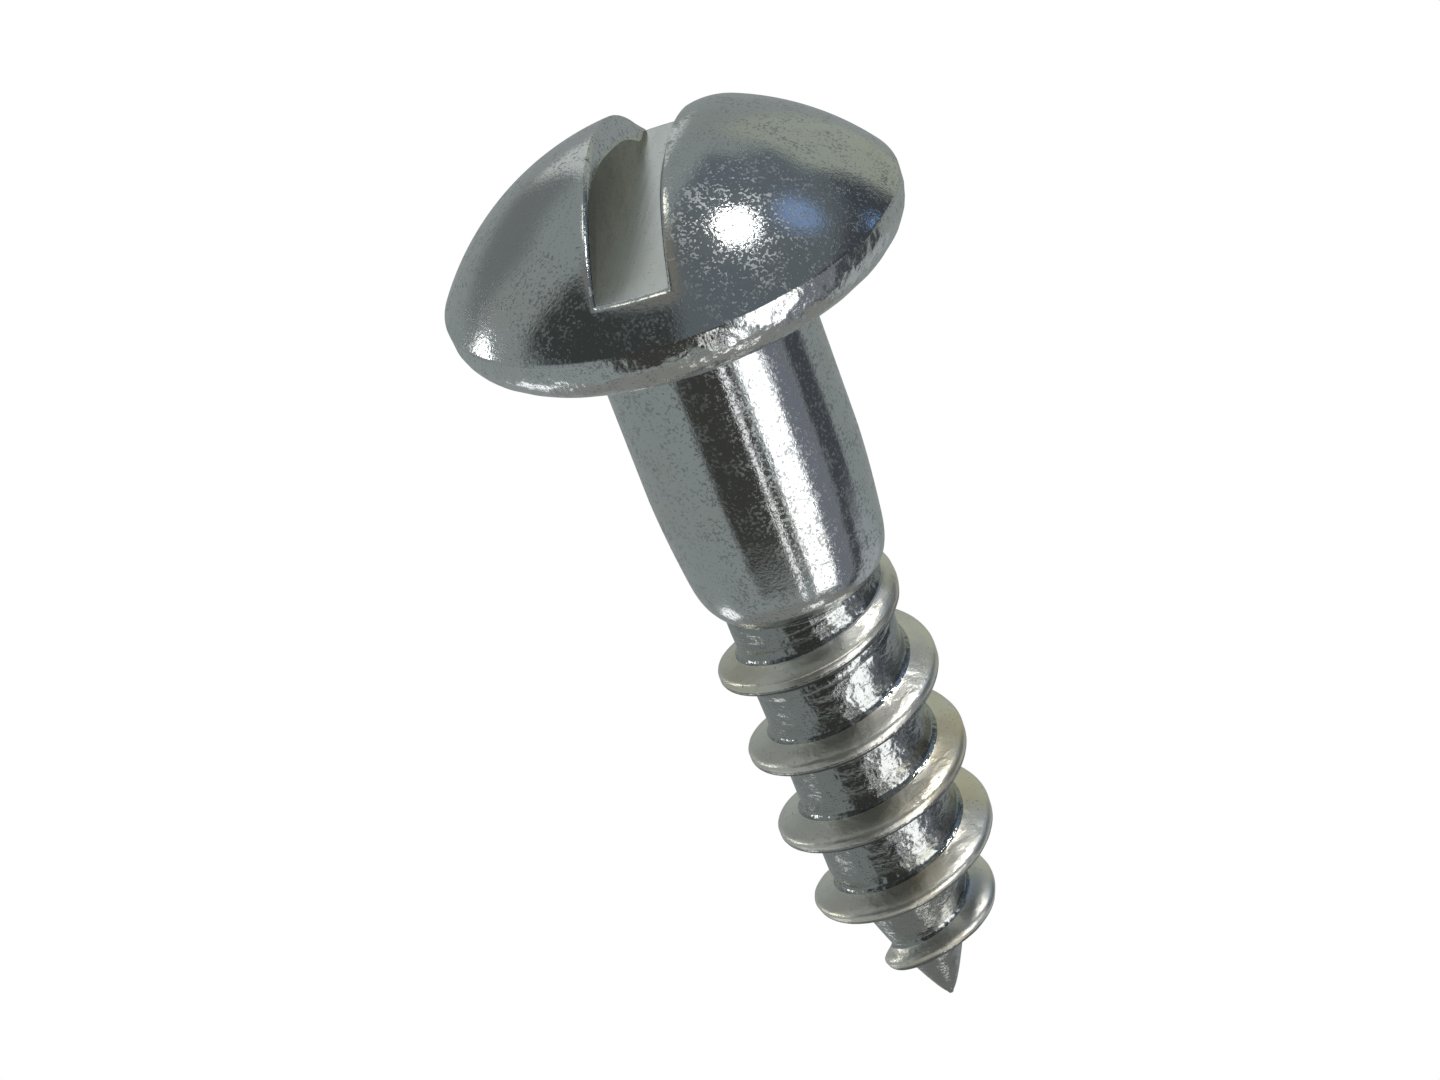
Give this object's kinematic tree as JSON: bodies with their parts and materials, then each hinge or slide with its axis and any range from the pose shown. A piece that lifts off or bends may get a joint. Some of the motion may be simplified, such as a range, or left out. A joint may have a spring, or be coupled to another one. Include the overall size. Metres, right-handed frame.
{
  "type": "slotted round-head wood screw",
  "caption": "Round-head wood screw with a straight driver slot, plain shank, coarse right-hand thread and gimlet point, zinc plated.",
  "frame": {"origin": "centre of the head's bearing face, on the screw's axis", "axes": "+Z along the axis and out through the head, so the tip points down -Z; the driver slot runs along Y"},
  "size_m": [0.0082, 0.0082, 0.0185],
  "materials": {
    "zinc_plated_steel": "bright zinc plating, finely pitted"
  },
  "bodies": {
    "root": {"head": "zinc_plated_steel", "shank": "zinc_plated_steel", "core": "zinc_plated_steel", "thread": "zinc_plated_steel", "point": "zinc_plated_steel"}
  },
  "joints": []
}
